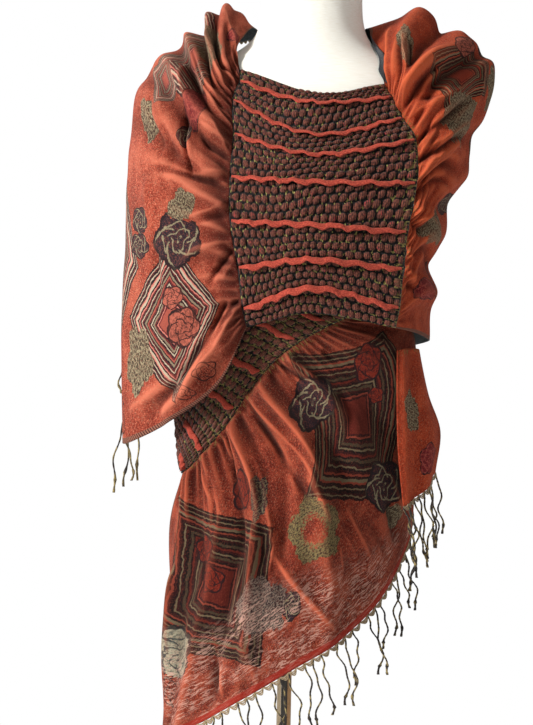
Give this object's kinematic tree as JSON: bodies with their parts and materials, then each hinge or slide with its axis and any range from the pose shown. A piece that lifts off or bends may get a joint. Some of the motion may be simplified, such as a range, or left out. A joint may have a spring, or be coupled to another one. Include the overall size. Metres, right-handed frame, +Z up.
{
  "type": "ruffle shawl on a dress form",
  "caption": "Long smocked shawl with ruffled bands, gathered folds and fringed ends, wrapped round the shoulders and waist of a limbless dress form on a stand.",
  "frame": {"origin": "centre of the stand base's underside, on the floor", "axes": "+Z up, the wearer's front faces -Y, +X is the viewer's right seen from the front"},
  "size_m": [0.4176, 0.35, 1.5123],
  "materials": {
    "cloth": "matt woven jacquard",
    "smocking": "matt bubbled smocking",
    "ruffle": "matt plain weave",
    "fringe": "twisted yarn",
    "linen": "matt linen",
    "wood": "satin",
    "steel": "dull"
  },
  "bodies": {
    "root": {"form_torso": "linen", "form_neck_cap": "wood", "stand_base": "wood", "stand_cheek_left": "wood", "stand_cheek_right": "wood", "stand_bar": "steel", "band_front": "smocking", "ruffle_front_1": "ruffle", "ruffle_front_2": "ruffle", "ruffle_front_3": "ruffle", "ruffle_front_4": "ruffle", "ruffle_front_5": "ruffle", "ruffle_front_6": "ruffle", "ruffle_front_7": "ruffle", "stretch_left": "cloth", "stretch_right": "cloth", "stretch_back": "cloth", "band_side": "smocking", "ruffle_side_1": "ruffle", "ruffle_side_2": "ruffle", "ruffle_side_3": "ruffle", "ruffle_side_4": "ruffle", "ruffle_side_5": "ruffle", "ruffle_side_6": "ruffle", "fan_panel": "cloth", "fan_corner": "cloth", "fringe_hem": "fringe", "fringe_corner": "fringe", "fringe_left": "fringe"}
  },
  "joints": []
}
